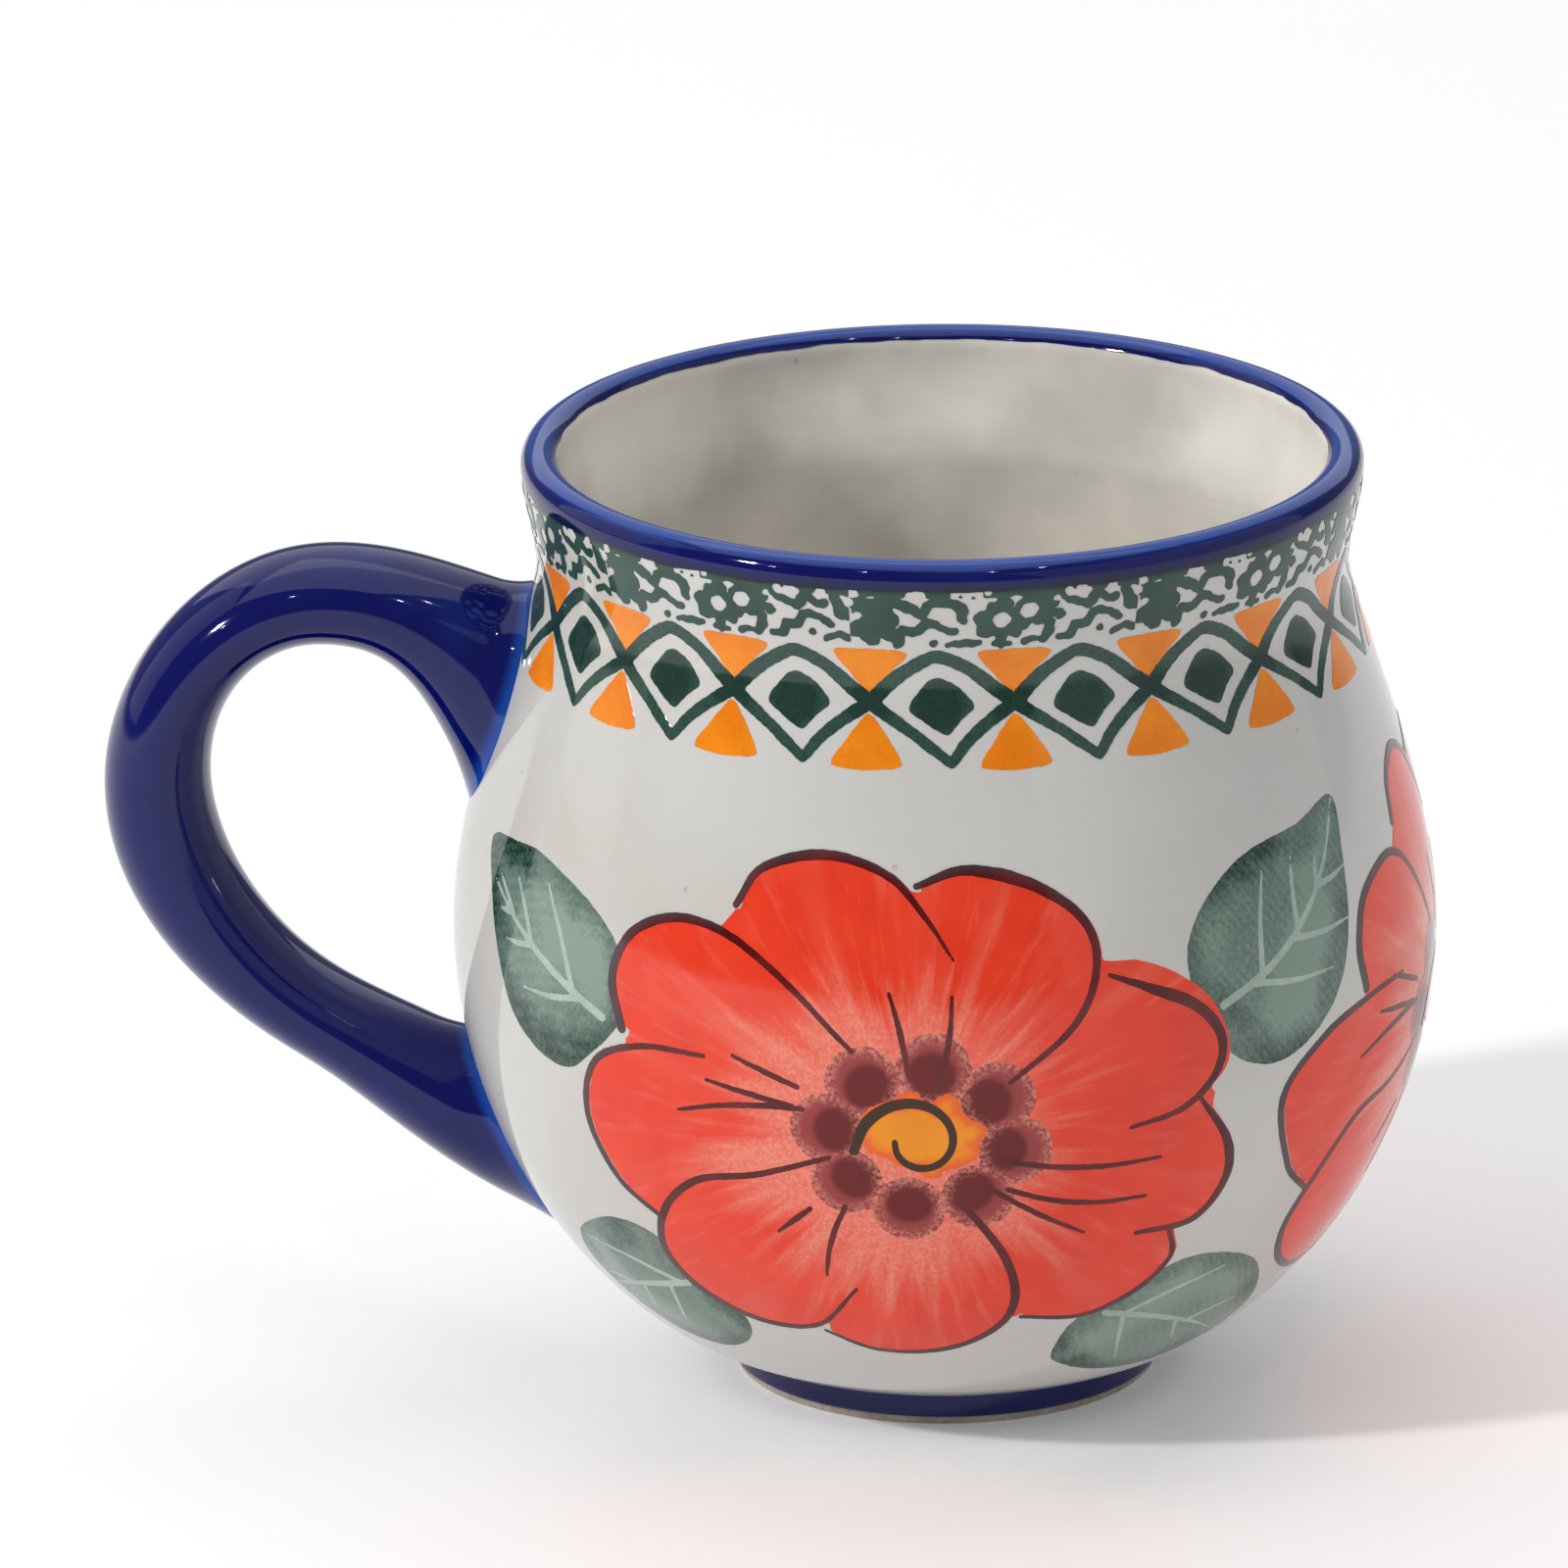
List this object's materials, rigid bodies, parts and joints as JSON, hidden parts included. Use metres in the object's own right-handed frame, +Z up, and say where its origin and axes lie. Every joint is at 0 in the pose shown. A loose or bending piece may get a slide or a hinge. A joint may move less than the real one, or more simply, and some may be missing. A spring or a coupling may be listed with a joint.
{
  "type": "mug",
  "caption": "Round-bellied glazed stoneware mug with a flared lip, a foot ring and a large looped handle, hand-painted with red flowers.",
  "frame": {"origin": "on the mug's axis, in the plane of the foot ring's underside", "axes": "+Z up along the axis of the mug, -X towards the handle"},
  "size_m": [0.1287, 0.095, 0.093],
  "materials": {
    "stoneware": "bare fired stoneware, matt and fine-grained",
    "slip": "fired slip, matt",
    "white_glaze": "glossy warm white glaze",
    "painted_glaze": "glossy warm white glaze over painted red flowers, green leaves and a stamped collar",
    "cobalt_glaze": "deep glossy cobalt blue glaze"
  },
  "bodies": {
    "root": {"clay_body": "stoneware", "foot_ring": "stoneware", "handle_core": "stoneware", "upper_slip_joint": "slip", "lower_slip_joint": "slip", "liner_glaze": "white_glaze", "rim_glaze": "cobalt_glaze", "outer_glaze": "painted_glaze", "foot_glaze": "cobalt_glaze", "base_glaze": "white_glaze", "handle_glaze": "cobalt_glaze"}
  },
  "joints": []
}
